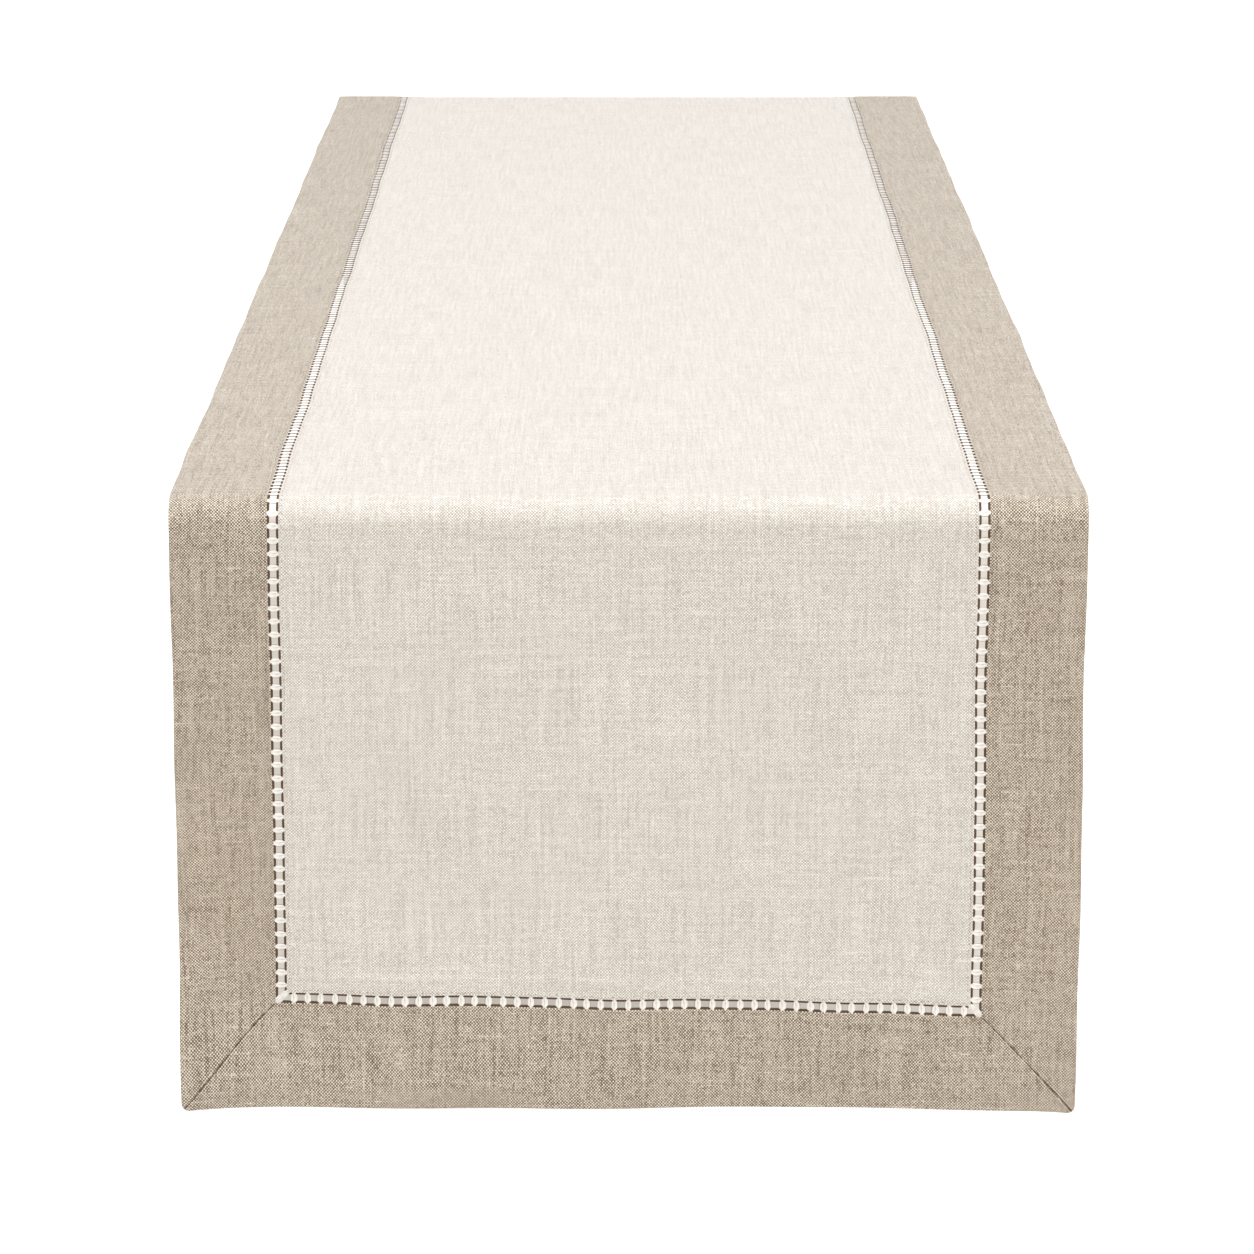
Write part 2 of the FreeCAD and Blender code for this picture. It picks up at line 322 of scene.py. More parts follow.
class Graph:
    """Short calls that add nodes to one material."""

    def __init__(self, name):
        self.material = bpy.data.materials.new(name)
        self.material.use_nodes = True
        self.material["slot"] = name
        self.nodes = self.material.node_tree.nodes
        self.links = self.material.node_tree.links
        self.shader = self.nodes["Principled BSDF"]

    def node(self, kind, *inputs, **settings):
        made = self.nodes.new(kind)
        for key, value in settings.items():
            setattr(made, key, value)
        for socket, value in zip(made.inputs, inputs):
            self.give(socket, value)
        return made

    def give(self, socket, value):
        if isinstance(value, bpy.types.NodeSocket):
            self.links.new(value, socket)
        elif value is not None:
            socket.default_value = value

    def math(self, operation, *values):
        return self.node("ShaderNodeMath", *values, operation=operation).outputs[0]

    def vector(self, operation, *values):
        return self.node("ShaderNodeVectorMath", *values, operation=operation).outputs[0]

    def split(self, place):
        return self.node("ShaderNodeSeparateXYZ", place).outputs

    def noise(self, place, scale, detail):
        made = self.node("ShaderNodeTexNoise", place)
        made.inputs["Scale"].default_value = scale
        made.inputs["Detail"].default_value = detail
        return made

    def streaks(self, place, finer, detail=1.0):
        """Noise that is finer along some axes than along others, so it is drawn out into streaks."""
        return self.noise(self.vector("MULTIPLY", place, finer), 1.0, detail).outputs[0]

    def random(self, place):
        """A random value for each whole-numbered place."""
        step = self.vector("FLOOR", place)
        return self.node("ShaderNodeTexWhiteNoise", step, noise_dimensions="3D").outputs[0]

    def dashes(self, place, finer):
        """A random value for each box of places, longer along the axes where it is less fine."""
        return self.random(self.vector("MULTIPLY", place, finer))

    def ridge(self, value):
        """0 where the value is a whole number, and 1 halfway between."""
        return self.math("ABSOLUTE", self.math("SINE", self.math("MULTIPLY", value, math.pi)))

    def between(self, value, low, high):
        """The value, moved from low..high to 0..1 and held there."""
        return self.node("ShaderNodeMapRange", value, low, high).outputs[0]

    def mix(self, share, a, b):
        made = self.node("ShaderNodeMix", data_type="FLOAT")
        for name, value in (("Factor", share), ("A", a), ("B", b)):
            self.give(next(socket for socket in made.inputs if socket.name == name), value)
        return made.outputs[0]

    def tones(self, value, stops):
        """A colour for the value, from (place, colour) stops."""
        made = self.node("ShaderNodeValToRGB", value)
        ramp = made.color_ramp
        while len(ramp.elements) < len(stops):
            ramp.elements.new(0.5)
        for element, (place, colour) in zip(ramp.elements, stops):
            element.position = place
            element.color = (*colour, 1.0)
        return made.outputs[0]

    def cloth(self):
        """The cloth's own coordinates, in metres."""
        return self.node("ShaderNodeAttribute", attribute_name="cloth").outputs["Vector"]

    def finish(self, colour, height, depth, roughness, sheen):
        """Joins the colour, relief and roughness to the shader, and sets what is the same all over."""
        bump = self.nodes.new("ShaderNodeBump")
        bump.inputs["Strength"].default_value = 1.0
        bump.inputs["Distance"].default_value = depth
        self.links.new(height, bump.inputs["Height"])
        self.links.new(bump.outputs[0], self.shader.inputs["Normal"])
        self.links.new(colour, self.shader.inputs["Base Color"])
        self.links.new(roughness, self.shader.inputs["Roughness"])
        self.shader.inputs["Specular IOR Level"].default_value = SHINE * sheen
        self.shader.inputs["Sheen Weight"].default_value = sheen
        self.shader.inputs["Sheen Roughness"].default_value = SHEEN_ROUGHNESS
        self.shader.inputs["Sheen Tint"].default_value = SHEEN_TINT
        return self.material


def thread_places(g):
    """Places counted in threads: straight, and as they are where the threads wander a little."""
    straight = g.vector("SCALE", g.cloth())
    straight.node.inputs["Scale"].default_value = 1.0 / THREAD
    woven = straight
    for scale, threads in WANDERS:
        noise = g.noise(straight, scale, 1.0).outputs["Color"]
        stray = g.vector("SUBTRACT", noise, (0.5, 0.5, 0.5))
        woven = g.vector("ADD", woven, g.vector("MULTIPLY", stray, (threads, threads, 0.0)))
    return straight, woven


def crossings(g, woven):
    """How high the cloth stands where threads cross, and 1 where the warp is on top or 0 if the weft is."""
    warp, weft, _ = g.split(woven)
    pebble = g.math("SQRT", g.math("MULTIPLY", g.ridge(warp), g.ridge(weft)))
    warp_step, weft_step, _ = g.split(g.vector("FLOOR", woven))
    warp_over = g.math("FLOORED_MODULO", g.math("ADD", warp_step, weft_step), 2.0)
    return pebble, warp_over


def linen(name, dark, body, light, contrast, sheen):
    """Plain-woven linen: uneven threads over and under each other, with slubs and flecks."""
    g = Graph(name)
    straight, woven = thread_places(g)
    pebble, warp_over = crossings(g, woven)
    own = g.random(woven)
    dash = g.mix(warp_over, g.dashes(woven, (0.4, 1.0, 1.0)), g.dashes(woven, (1.0, 0.4, 1.0)))
    warp_streak = g.streaks(woven, (0.9, 0.03, 1.0))
    weft_streak = g.streaks(woven, (0.03, 0.9, 1.0))
    slub = g.math("MAXIMUM", g.between(warp_streak, *SLUB), g.between(weft_streak, *SLUB))

    # What lightens or darkens the cloth: (value, its usual value, how much it counts).
    marks = [
        # painted shade: the cloth is darker in the dips between its crossing threads
        (pebble, 0.62, 0.8),
        (warp_over, 0.5, 0.75),
        (own, 0.5, 0.3),
        (dash, 0.5, 0.4),
        (g.mix(warp_over, weft_streak, warp_streak), 0.5, 0.65),
        (g.noise(straight, 0.5, 2.0).outputs[0], 0.5, 0.25),        # flecks
        (g.noise(straight, 0.03, 2.0).outputs[0], 0.5, 0.1),        # clouds
        (slub, 0.1, 0.22),
        (g.streaks(woven, (0.48, 0.013, 1.0)), 0.5, 0.58),          # long streaks down the warp
        (g.streaks(woven, (0.016, 0.3, 1.0)), 0.5, 0.36),           # and across it
    ]
    tone = 0.5
    for value, usual, counts in marks:
        tone = g.math("MULTIPLY_ADD", g.math("SUBTRACT", value, usual), counts * contrast, tone)
    height = pebble
    for value, counts in ((warp_over, 0.35), (own, 0.15), (slub, 0.6)):
        height = g.math("MULTIPLY_ADD", value, counts, height)
    colour = g.tones(tone, [(0.1, dark), (0.5, body), (0.9, light)])
    roughness = g.math("MULTIPLY_ADD", pebble, -0.1, 0.95)
    return g.finish(colour, height, LINEN_RELIEF, roughness, sheen)


def thread(name, dark, light, sheen):
    """Spun thread: fine strands along its length. A bundle has painted shade low down at its sides."""
    g = Graph(name)
    place = g.cloth()
    strands = g.streaks(place, (300.0, 4200.0, 4200.0), 2.0)
    cloud = g.streaks(place, (90.0, 600.0, 600.0))
    _, out, up = g.split(place)
    # painted shade: the low sides of a bundle, which face the next bundle, are darkened
    beside = g.between(g.math("ABSOLUTE", out), *PAINTED_SHADE_OUT)
    painted_shade = g.math("MULTIPLY", beside, g.between(up, *PAINTED_SHADE_UP))
    tone = g.math("ADD", g.math("MULTIPLY", strands, 0.7), g.math("MULTIPLY", cloud, 0.3))
    tone = g.math("SUBTRACT", tone, g.math("MULTIPLY", painted_shade, 0.7))
    colour = g.tones(tone, [(0.0, dark), (0.6, light)])
    roughness = g.math("MULTIPLY_ADD", strands, -0.2, 0.75)
    return g.finish(colour, strands, THREAD_RELIEF, roughness, sheen)


ivory_linen = linen(
    "ivory_linen",
    dark=(0.42, 0.365, 0.295),
    body=(0.65, 0.611, 0.562),
    light=(0.92, 0.895, 0.855),
    contrast=0.8,
    sheen=0.55,
)
flax_linen = linen(
    "flax_linen",
    dark=(0.10, 0.056, 0.022),
    body=(0.37, 0.285, 0.195),
    light=(0.80, 0.73, 0.615),
    contrast=1.35,
    sheen=0.5,
)
# its dark brown shows mostly in the painted shade low on a bundle's sides
white_thread = thread("white_thread", dark=(0.15, 0.09, 0.05), light=(0.93, 0.91, 0.87), sheen=0.6)
ivory_thread = thread("ivory_thread", dark=(0.50, 0.45, 0.38), light=(0.80, 0.76, 0.70), sheen=0.6)
flax_thread = thread("flax_thread", dark=(0.30, 0.23, 0.16), light=(0.58, 0.50, 0.40), sheen=0.6)
# painted shade: a near-black brown thread for the tie cords, the needle holes and the mitre seams, standing
# for the shade in them
seam_thread = thread("seam_thread", dark=(0.045, 0.026, 0.014), light=(0.14, 0.09, 0.055), sheen=0.0)


# ---- the folds of the cloth ---------------------------------------------------------------------------

FOLD_STEPS = MIDDLE * (1.0 - np.cos(np.radians([0.0, 25.0, 50.0, 90.0])))   # rows that round a fold
MITRE_STEPS = FOLD_STEPS * ROOT_TWO     # the same rows, measured along a mitred strip
PINCH = 0.02 * MM           # half the thickness left where the two faces of a layer meet
DENT = 0.1 * MM             # how far the hem stitches pull the cloth in, behind the lip of an edge
DENT_WIDTH = 0.5 * MM
LIP = 1.35 * MM             # width of that lip
CROWN = 0.12 * MM           # how much a folded border is puffed up inside its edges,
CROWN_REACH = 8 * MM        # and how far in from an edge it takes to rise that much
TAIL_ROWS = 25              # rows from the end of the regular ones to the mitre
HEM_PLACES = 50             # places across the runner between two mitres, in a hem
BORDER_PLACES = 100         # and in a border


def fold(inward):
    """Height of a folded face over its fold line, this far in from the edge."""
    short = 1.0 - np.clip(inward / MIDDLE, 0.0, 1.0)
    return MIDDLE * np.sqrt(1.0 - short * short)


def finished_layer(inward, beside, crown=0.0):
    """Lower and upper heights of the layer that faces up, folded under at its edges.
    inward is the distance from the nearest edge, and beside the distance from the ladder."""
    rise = crown - DENT * np.exp(-(((beside - LIP) / DENT_WIDTH) ** 2))
    high = MIDDLE + fold(inward) + rise
    low = np.minimum(MIDDLE + GAP + rise, high - 2.0 * PINCH)
    return low, high


def turned(layer):
    """The same layer, turned over to the back of the cloth."""
    low, high = layer
    return 2.0 * MIDDLE - high, 2.0 * MIDDLE - low


def from_edges(first, second, before_mitre):
    """Distance from the nearest edge of a mitred strip: its two long edges, or its mitre, which is
    this far off along the strip."""
    return np.minimum(np.minimum(first, second)[:, None], before_mitre / ROOT_TWO)


def down_the_runner(finish):
    """Places along half the runner, a row for each finish, close together round the bend and at the
    mitre, where each row stops at its finish."""
    fixed = lines(*over_the_bend(FLAT_ROWS, PANEL_END - 4 * HEM, DROP_ROWS))
    share = np.sin(np.linspace(0.0, math.pi / 2, TAIL_ROWS + 1)[1:])
    last = finish[:, None] - MITRE_STEPS[-1]
    tail = fixed[-1] + (last - fixed[-1]) * share
    mitre = finish[:, None] - MITRE_STEPS[-2::-1]
    return np.concatenate([np.tile(fixed, (len(finish), 1)), tail, mitre], axis=1)


def across_the_end(width, spread):
    """Places across the runner in rows of these half widths, close together at the two mitres and
    spread between them in proportion to these values, from -1 to 1."""
    middle = (width - MITRE_STEPS[-1])[:, None] * spread
    mitre = width[:, None] - MITRE_STEPS[-2::-1]
    return np.concatenate([-mitre[:, ::-1], middle, mitre], axis=1)


def panel_face(end):
    """The panel's upper layer, which sinks to a single layer's height inside its hems."""
    edge = PANEL_X - FOLD_STEPS
    near_edge, near_end = edge[-1] - 2 * HEM, PANEL_END - 2 * HEM
    right = lines((0.0, near_edge, FLAT_ROWS), (near_edge, edge[-1], HEM_ROWS))
    right = np.concatenate([right, edge[-2::-1]])
    across = np.concatenate([-right[:0:-1], right])
    beside_hem = (near_end, PANEL_END - FOLD_STEPS[-1], HEM_ROWS)
    along = lines(*over_the_bend(FLAT_ROWS, near_end, DROP_ROWS), beside_hem)
    along = np.append(along, PANEL_END - FOLD_STEPS[-2::-1])
    a, s = across[:, None], along[None, :]
    inward = np.minimum(PANEL_X - np.abs(a), PANEL_END - s)
    settled = (THICKNESS - CLOTH - GAP) * smooth((inward - HEM) / CREASE)
    low, high = finished_layer(inward, inward)
    return slab(a, end * s, low - settled, high - settled)


def hem_rows():
    """How far in from the panel's edge the rows of its hem lie."""
    flat = lines((FOLD_STEPS[-1], HEM - FOLD_STEPS[-1], 2 * MM))
    return np.concatenate([FOLD_STEPS[:-1], flat, HEM - FOLD_STEPS[-2::-1]])


def side_hem(side, end):
    """The cloth turned under along one side of the panel, mitred at its end."""
    inset = hem_rows()
    finish = PANEL_END - inset
    run = down_the_runner(finish)
    inward = from_edges(inset, HEM - inset, finish[:, None] - run)
    return slab(side * (PANEL_X - inset)[:, None], end * run, *turned(finished_layer(inward, inward)))


def end_hem(end):
    """The cloth turned under across one end of the panel, mitred at both ends."""
    inset = hem_rows()
    width = PANEL_X - inset
    span = across_the_end(width, np.linspace(-1.0, 1.0, HEM_PLACES))
    inward = from_edges(inset, HEM - inset, width[:, None] - np.abs(span))
    return slab(span, end * (PANEL_END - inset)[:, None], *turned(finished_layer(inward, inward)))


def panel_half(end_name):
    """The centre panel from the runner's middle to one end, with its hems turned under."""
    end = ENDS[end_name]
    parts = [panel_face(end)]
    parts += [side_hem(side, end) for side in SIDES.values()]
    parts.append(end_hem(end))
    made = piece(f"panel_{end_name}", parts, ivory_linen)
    over_edge(made, end_name, f"{end_name}_drop_panel", f"{end_name}_bend_panel", "top_panel")


def border_rows():
    """How far out from a border's inner edge its rows lie, up to its outer fold."""
    width = HALF - BORDER_X
    start, stop = FOLD_STEPS[-1], width - FOLD_STEPS[-1]
    past_lip, near_corner = start + 2 * LIP, stop - 2 * CORNER
    flat = lines(
        (start, past_lip, 0.45 * MM),
        (past_lip, near_corner, 3.5 * MM),
        (near_corner, stop, 0.6 * MM),
    )
    return np.concatenate([FOLD_STEPS[:-1], flat, width - FOLD_STEPS[-2::-1]])


def border_layers(inward, depth):
    """The front and back layers of a folded border."""
    layer = finished_layer(inward, depth[:, None], CROWN * smooth(inward / CROWN_REACH))
    return layer, turned(layer)


def side_border(side_name, end_name):
    """A side border from the runner's middle to one end: a folded strip, mitred at its end."""
    side, end = SIDES[side_name], ENDS[end_name]
    depth = border_rows()
    across = side * (BORDER_X + depth)[:, None]
    finish = BORDER_END + depth
    run = down_the_runner(finish)
    inward = from_edges(depth, HALF - BORDER_X - depth, finish[:, None] - run)
    parts = [slab(across, end * run, *layer) for layer in border_layers(inward, depth)]
    made = piece(f"border_{end_name}_{side_name}", parts, flax_linen)
    nodes = [f"{end_name}_drop_{side_name}_border", f"{end_name}_bend_{side_name}_border"]
    over_edge(made, end_name, *nodes, f"top_{side_name}_border")


def end_border(end_name):
    """The border across one end: a folded strip, mitred at both ends."""
    depth = border_rows()
    width = BORDER_X + depth
    spread = np.sin(np.linspace(-math.pi / 2, math.pi / 2, BORDER_PLACES))
    span = across_the_end(width, spread)
    inward = from_edges(depth, HALF - BORDER_X - depth, width[:, None] - np.abs(span))
    run = ENDS[end_name] * (BORDER_END + depth)[:, None]
    parts = [slab(span, run, *layer) for layer in border_layers(inward, depth)]
    made = piece(f"border_{end_name}_end", parts, flax_linen)
    on_drop(made, end_name, f"{end_name}_drop_end_border")


# ---- the open ladder ----------------------------------------------------------------------------------

OPENING = BORDER_X - PANEL_X
ENTRY = 0.7 * MM            # how far a bundle reaches into the cloth
WAIST = 0.95 * MM           # half widths of a bundle, where it enters the cloth and at its middle
BELLY = 1.75 * MM
WAIST_DEPTH = 0.2 * MM      # half heights at the same places
BELLY_DEPTH = 0.26 * MM
BUNDLE_PLACES = 9           # rows along the open part of a bundle
BUNDLE_SIDES = 14
FULLNESS = 2.4              # how much of its length a bundle is near its full width
LEAN = 0.035                # radians, the usual lean of a bundle
BOW = 0.14 * MM             # how far its middle usually bends to one side
STRAY = 0.12 * MM           # how far it usually stands from its place in the row
GROOVE = 0.07               # depth of the grooves between its plies, as a share of its size
SAG = 1.9                   # how much further it reaches down than up
ANY_TURN = (0.0, 6.28)      # radians, where the grooves can lie

BAR_PLACES = 11             # rows along each bundle of a corner bar
BAR_SIDES = 10
BAR_FULLNESS = 2.2
BAR_GROOVE = 0.06
BAR_PAST = 0.9 * MM         # how much longer the bar is than the opening, measured along the runner
BAR_APART = 0.32 * MM       # between its bundles at the panel's corner, along each axis,
BAR_FAN = 0.5 * MM          # and what is added to that at the border's corner
BAR_WAIST = 0.46 * MM       # half width of one at its ends,
BAR_SWELL = 0.32 * MM       # and how much wider it is at its middle
BAR_DEPTH = 0.28 * MM       # the same for its half height
BAR_RISE = 0.24 * MM
BAR_CROWN = 0.08 * MM       # how much higher the middle bundle lies


def bundle(random, a, s, turned_by=0.0):
    """A bundle of threads centred on a place; it lies along `across`, or turned in the cloth's plane."""
    reach = 1.0 + 2.0 * ENTRY / OPENING
    t = np.concatenate([[-reach], np.linspace(-1.0, 1.0, BUNDLE_PLACES), [reach]])
    swell = np.clip(1.0 - np.abs(t) ** FULLNESS, 0.0, 1.0)
    belly = BELLY * random.uniform(0.88, 1.07)
    wide = WAIST + (belly - WAIST) * swell
    tall = WAIST_DEPTH + (BELLY_DEPTH * random.uniform(0.9, 1.1) - WAIST_DEPTH) * swell
    lean = turned_by + random.normal(0.0, LEAN)
    bow = random.normal(0.0, BOW) * swell
    x = t * OPENING / 2
    place_a = a + x * math.cos(lean) - bow * math.sin(lean)
    place_s = s + x * math.sin(lean) + bow * math.cos(lean)
    height = np.full(len(t), MIDDLE)
    turn = random.uniform(*ANY_TURN)
    return strand(place_a, place_s, height, wide, tall, BUNDLE_SIDES, GROOVE, turn, SAG)


def rung_places(length):
    """Centres of the bundles along a stretch of ladder, from its start."""
    count = max(1, round(length / RUNG_PITCH))
    return (np.arange(count) + 0.5) * length / count


def side_ladder(side_name, end_name):
    """The bundles down one side, from the runner's middle to one end of the panel."""
    side, end = SIDES[side_name], ENDS[end_name]
    random = np.random.default_rng(20 + 2 * side + end)
    centre = side * (PANEL_X + BORDER_X) / 2
    places = rung_places(PANEL_END)
    parts = [bundle(random, centre, end * (at + random.normal(0.0, STRAY))) for at in places]
    made = piece(f"ladder_{end_name}_{side_name}", parts, white_thread)
    nodes = [f"{end_name}_drop_{side_name}_ladder", f"{end_name}_bend_{side_name}_ladder"]
    over_edge(made, end_name, *nodes, f"top_{side_name}_ladder")


def end_ladder(end_name):
    """The bundles across one end."""
    end = ENDS[end_name]
    random = np.random.default_rng(40 + end)
    centre = end * (PANEL_END + BORDER_END) / 2
    places = rung_places(2 * PANEL_X) - PANEL_X
    parts = [bundle(random, at + random.normal(0.0, STRAY), centre, math.pi / 2) for at in places]
    made = piece(f"ladder_{end_name}_end", parts, white_thread)
    on_drop(made, end_name, f"{end_name}_drop_end_ladder")


def corner_bar(side_name, end_name):
    """The three bundles that fan out side by side across a corner of the ladder."""
    side, end = SIDES[side_name], ENDS[end_name]
    random = np.random.default_rng(60 + 2 * side + end)
    t = np.linspace(0.0, 1.0, BAR_PLACES)
    swell = 1.0 - np.abs(2.0 * t - 1.0) ** BAR_FULLNESS
    reach = -ENTRY + (OPENING + BAR_PAST) * t
    tall = BAR_DEPTH + BAR_RISE * swell
    parts = []
    for beside in (-1.0, 0.0, 1.0):
        fan = beside * (BAR_APART + BAR_FAN * t)
        wide = (BAR_WAIST + BAR_SWELL * swell) * random.uniform(0.92, 1.08)
        a, s = side * (PANEL_X + reach + fan), end * (PANEL_END + reach - fan)
        height = np.full(len(t), MIDDLE + BAR_CROWN * (1.0 - abs(beside)))
        parts.append(strand(a, s, height, wide, tall, BAR_SIDES, BAR_GROOVE, random.uniform(*ANY_TURN)))
    made = piece(f"corner_bar_{end_name}_{side_name}", parts, white_thread)
    on_drop(made, end_name, f"{end_name}_drop_{side_name}_corner_bar")


# ---- sewing -------------------------------------------------------------------------------------------

FINE = 6                    # sides of a fine thread
LONG_PLACES = 90            # places along a thread that runs across the end or down a mitre
CORD = 0.56 * MM            # radius of the thread that ties the bundles along both edges of the ladder
CORD_UNDER = 0.33 * MM      # how far below the ladder its centre lies,
CORD_INSET = 0.48 * MM      # and how far into the opening

STITCH = 0.14 * MM          # radius of the hem thread
STITCH_START = 0.15 * MM    # a stitch starts this far in from the edge,
STITCH_REACH = 1.15 * MM    # ends this far in,
STITCH_SKEW = 0.08 * MM     # has usually turned this much aside there,
STITCH_OVER = 0.03 * MM     # and lies this far above the fold
STITCH_PITCH = RUNG_PITCH / 2
HOLE = 0.4 * MM             # length of the dark strand that is painted shade for a needle hole

SEAM = 0.2 * MM             # radius of a mitre's sunken thread
SEAM_OVER = 0.36 * MM       # how far from the middle of the cloth it lies, on each face
SEAM_UNEVEN = 1.2           # how much its radius varies,
SEAM_THIN = 0.2             # and the least share of it that is left
SEAM_SHORT = 0.35           # it stops this share of the corner's radius short of the corner
CROSS_STITCH = 0.1 * MM     # radius of the stitches across a mitre, and their dip at both ends
CROSS_PITCH = 2.6 * MM
CROSS_HALF = 0.5 * MM       # half length of one, square to the mitre,
CROSS_SLANT = 0.3 * MM      # and along it


def tie_cord(a, s):
    """A thread seen in each opening, behind the bundles, along an edge of the ladder. It ties the bundles,
    and its dark colour is painted shade at the opening's edges.
    """
    full = np.full(len(a), CORD)
    return strand(a, s, np.full(len(a), MIDDLE - CORD_UNDER), full, full, FINE)


def tie_cords(end_name):
    """The threads that tie the bundles, along the panel's edge and along the border's. They are dark as
    painted shade.
    """
    end = ENDS[end_name]
    panel_edge = (PANEL_X + CORD_INSET, PANEL_END + CORD_INSET)
    border_edge = (BORDER_X - CORD_INSET, BORDER_END - CORD_INSET)
    parts, drop_parts = [], []
    for edge_a, edge_s in (panel_edge, border_edge):
        s = lines(*over_the_bend(5 * MM, edge_s, 3 * MM))
        parts += [tie_cord(np.full(len(s), side * edge_a), end * s) for side in SIDES.values()]
        a = np.linspace(-edge_a, edge_a, LONG_PLACES)
        drop_parts.append(tie_cord(a, np.full(len(a), end * edge_s)))
    over_edge(piece(f"tie_cords_{end_name}_sides", parts, seam_thread), end_name)
    on_drop(piece(f"tie_cords_{end_name}_end", drop_parts, seam_thread), end_name)


def hem_stitch(random, a, s, towards_a, towards_s):
    """One small stitch from a folded edge into the cloth, and at its end a dark strand, painted shade for
    its needle hole.
    """
    t = np.linspace(0.0, 1.0, 4)
    reach = STITCH_START + (STITCH_REACH * random.uniform(0.85, 1.1) - STITCH_START) * t
    skew = random.normal(0.0, STITCH_SKEW) * t
    place_a = a + towards_a * reach + abs(towards_s) * skew
    place_s = s + towards_s * reach + abs(towards_a) * skew
    full = np.full(len(t), STITCH)
    stitch = strand(place_a, place_s, MIDDLE + fold(reach) + STITCH_OVER, full, full, FINE)
    # painted shade: a dark strand, sunk into the cloth, stands for the shade inside the needle hole
    hole_a = place_a[-1] + towards_a * HOLE * t
    hole_s = place_s[-1] + towards_s * HOLE * t
    deep = np.full(len(t), THICKNESS - DENT)
    hole_shade = strand(hole_a, hole_s, deep, full * random.uniform(0.9, 1.6), full * 0.5, FINE)
    return stitch, hole_shade


def hem_row(end_name, row, where, pairs, material, join, nodes):
    """Makes the stitches of a row and the painted shade of their needle holes, and passes both to join."""
    stitches, hole_shades = zip(*pairs)
    join(piece(f"stitches_{end_name}_{row}_{where}", stitches, material), end_name, *nodes)
    join(piece(f"needle_holes_{end_name}_{row}_{where}", hole_shades, seam_thread), end_name)


def hem_stitches(end_name):
    """The rows of small stitches beside the ladder, on the panel's hem and on the border."""
    end = ENDS[end_name]
    random = np.random.default_rng(80 + end)
    rows = {
        "panel": (PANEL_X, PANEL_END, -1, ivory_thread),
        "border": (BORDER_X, BORDER_END, 1, flax_thread),
    }
    for row, (edge_a, edge_s, way, material) in rows.items():
        sides, across = [], []
        for side in SIDES.values():
            for at in np.arange(0.5, edge_s / STITCH_PITCH - 1) * STITCH_PITCH:
                sides.append(hem_stitch(random, side * edge_a, end * at, side * way, 0.0))
        for at in np.arange(0.5 - edge_a / STITCH_PITCH, edge_a / STITCH_PITCH - 1) * STITCH_PITCH:
            across.append(hem_stitch(random, at, end * edge_s, 0.0, end * way))
        nodes = [f"{end_name}_bend_stitching"] + [f"top_{side}_{row}_stitching" for side in SIDES]
        nodes += [f"{end_name}_drop_{side}_{row}_stitching" for side in SIDES]
        hem_row(end_name, row, "sides", sides, material, over_edge, nodes)
        hem_row(end_name, row, "end", across, material, on_drop, [f"{end_name}_drop_end_{row}_stitching"])


def mitre_seam(side_name, end_name):
    """The sewn line of a mitre: a dark sunken thread on each face of the border, whose dark colour is
    painted shade for the seam's gap.
    """
    side, end = SIDES[side_name], ENDS[end_name]
    t = np.linspace(0.2 * MM, HALF - BORDER_X - CORNER * SEAM_SHORT, LONG_PLACES)
    uneven = 1.0 + SEAM_UNEVEN * ripple(t, (0.0083, 0.0039, 0.0021), 91 + side + 2 * end)
    wide = SEAM * np.maximum(uneven, SEAM_THIN)
    a, s = side * (BORDER_X + t), end * (BORDER_END + t)
    parts = []
    for height in (MIDDLE + SEAM_OVER, MIDDLE - SEAM_OVER):
        parts.append(strand(a, s, np.full(len(t), height), wide, wide, FINE))
    made = piece(f"mitre_seam_{end_name}_{side_name}", parts, seam_thread)
    on_drop(made, end_name, f"{end_name}_drop_{side_name}_mitre_seam")


def mitre_stitches(side_name, end_name):
    """The small slanting stitches across a mitre, on the border's upper face."""
    side, end = SIDES[side_name], ENDS[end_name]
    random = np.random.default_rng(90 + 2 * side + end)
    u = np.linspace(-1.0, 1.0, 5)
    full = np.full(len(u), CROSS_STITCH)
    height = MIDDLE + SEAM_OVER - CROSS_STITCH * u * u
    finish = HALF - BORDER_X - CORNER * SEAM_SHORT - 1.0 * MM
    parts = []
    for at in np.arange(1.5 * MM, finish, CROSS_PITCH):
        slant = CROSS_SLANT + random.normal(0.0, 0.1 * MM)
        a = BORDER_X + at + (slant + CROSS_HALF) * u / ROOT_TWO
        s = BORDER_END + at + (slant - CROSS_HALF) * u / ROOT_TWO
        parts.append(strand(side * a, end * s, height, full, full, FINE))
    on_drop(piece(f"mitre_stitches_{end_name}_{side_name}", parts, flax_thread), end_name)


# ---- the runner ---------------------------------------------------------------------------------------

for end_name in ENDS:
    panel_half(end_name)
    end_border(end_name)
    end_ladder(end_name)
    tie_cords(end_name)
    hem_stitches(end_name)
    for side_name in SIDES:
        side_border(side_name, end_name)
        side_ladder(side_name, end_name)
        corner_bar(side_name, end_name)
        mitre_seam(side_name, end_name)
        mitre_stitches(side_name, end_name)


# ---- floor, light and camera --------------------------------------------------------------------------

FLOOR_HALF = 60.0           # half size, large enough that low views see no horizon
FLOOR_BELOW = 4 * MM        # how far it lies under the lowest hem
SHADE_HALF = 0.237          # half width of the painted shadow under the runner's middle,
SHADE_SPREAD = 0.091        # and how much wider it is for each metre towards the rear end
SHADE_SHORT = 0.04          # how far it stops short of both ends of the tabletop
SHADE_EDGE = (-0.03, 0.02)  # the shade fades out between these distances from its outline
SHADE_GLOW = 0.4            # strength of the floor's glow in the shade,
MORE_GLOW = 0.55            # and what is added to it outside
SHADE_TINT = (1.0, 0.955, 0.9)
WHITE = (1.0, 1.0, 1.0)
FLOOR_COLOUR = (0.28, 0.25, 0.21, 1.0)

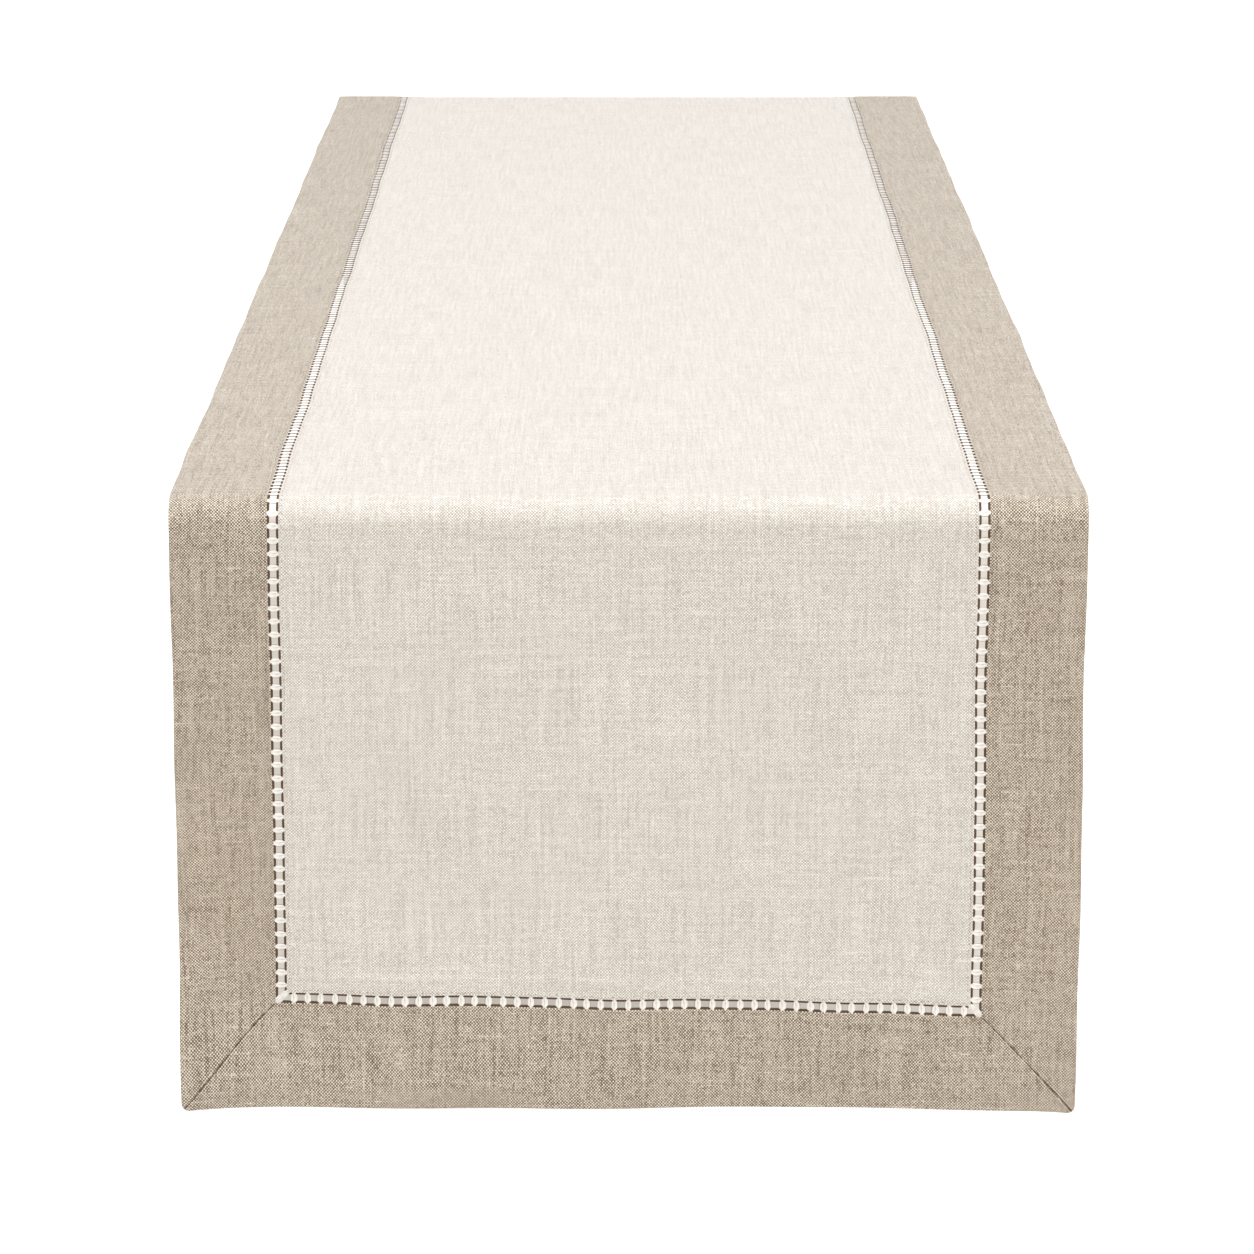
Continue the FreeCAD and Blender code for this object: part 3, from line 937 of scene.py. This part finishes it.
SURROUND = 0.46             # strength of the white surroundings
SUN = 2.95
SUN_ANGLE = 50.0            # degrees across, for soft shade
SUN_TINT = (1.0, 0.99, 0.98)
NEAR_SIZE = 1.6             # a lamp that brightens the front of the tabletop
NEAR_POWER = 14.0

LENS = 132.14               # mm, on a 36 mm sensor
SENSOR = 36.0
EYE = (-0.7 * MM, -2.6103, 0.4601)
LOOKS_DOWN = 14.66          # degrees


def pale_floor():
    """A wide pale floor just clear of the hems, clear when seen from below. It glows, and less so in
    the painted shadow under the runner, which is wider towards the back."""
    below = cad_low.z - FLOOR_BELOW
    corners = [(x * FLOOR_HALF, y * FLOOR_HALF, below) for x, y in ((-1, -1), (1, -1), (1, 1), (-1, 1))]
    mesh = bpy.data.meshes.new("floor")
    mesh.from_pydata(corners, [], [(0, 1, 2, 3)])
    g = Graph("pale_floor")
    x, y, _ = g.split(g.node("ShaderNodeTexCoord").outputs["Object"])
    half_width = g.math("MULTIPLY_ADD", y, SHADE_SPREAD, SHADE_HALF)
    beside = g.math("SUBTRACT", g.math("ABSOLUTE", x), half_width)
    past_end = g.math("SUBTRACT", g.math("ABSOLUTE", y), SPAN - SHADE_SHORT)
    # painted shadow: the floor's glow is lowered under the runner
    lit = g.between(g.math("MAXIMUM", beside, past_end), *SHADE_EDGE)
    glow = g.math("MULTIPLY_ADD", lit, MORE_GLOW, SHADE_GLOW)
    g.links.new(glow, g.shader.inputs["Emission Strength"])
    g.links.new(g.tones(lit, [(0.0, SHADE_TINT), (1.0, WHITE)]), g.shader.inputs["Emission Color"])
    g.shader.inputs["Base Color"].default_value = FLOOR_COLOUR
    g.shader.inputs["Roughness"].default_value = 0.9
    behind = g.node("ShaderNodeNewGeometry").outputs["Backfacing"]
    clear = g.node("ShaderNodeBsdfTransparent").outputs[0]
    surface = g.node("ShaderNodeMixShader", behind, g.shader.outputs[0], clear).outputs[0]
    g.links.new(surface, g.nodes["Material Output"].inputs["Surface"])
    mesh.materials.append(g.material)
    floor = bpy.data.objects.new("floor", mesh)
    bpy.context.collection.objects.link(floor)


def hang_lamp(light, place, away):
    """Puts a light at a place, with its back to the direction away."""
    lamp = bpy.data.objects.new(light.name, light)
    lamp.location = place
    lamp.rotation_euler = Vector(away).to_track_quat("Z", "Y").to_euler()
    bpy.context.collection.objects.link(lamp)


def studio():
    """White surroundings, a broad sun from above, and a lamp over the front of the table."""
    world = bpy.data.worlds.new("studio")
    world.use_nodes = True
    background = world.node_tree.nodes["Background"]
    background.inputs["Color"].default_value = (*WHITE, 1.0)
    background.inputs["Strength"].default_value = SURROUND
    bpy.context.scene.world = world
    bpy.context.scene.view_settings.view_transform = "Standard"
    overhead = bpy.data.lights.new("overhead", "SUN")
    overhead.energy = SUN
    overhead.angle = math.radians(SUN_ANGLE)
    overhead.color = SUN_TINT
    hang_lamp(overhead, place=(0.0, 0.0, 0.0), away=(0.12, -0.14, 1.0))
    near = bpy.data.lights.new("near", "AREA")
    near.size = NEAR_SIZE
    near.energy = NEAR_POWER
    hang_lamp(near, place=(0.1, -1.0, 2.2), away=(0.1, -0.7, 2.2))


def camera():
    """A long lens in front of the table and a little above it."""
    lens = bpy.data.cameras.new("camera")
    lens.sensor_width = SENSOR
    lens.lens = LENS
    lens.clip_end = 200.0
    eye = bpy.data.objects.new("camera", lens)
    eye.location = EYE
    eye.rotation_euler = (math.radians(90.0 - LOOKS_DOWN), 0.0, 0.0)
    bpy.context.collection.objects.link(eye)
    bpy.context.scene.camera = eye


pale_floor()
studio()
camera()
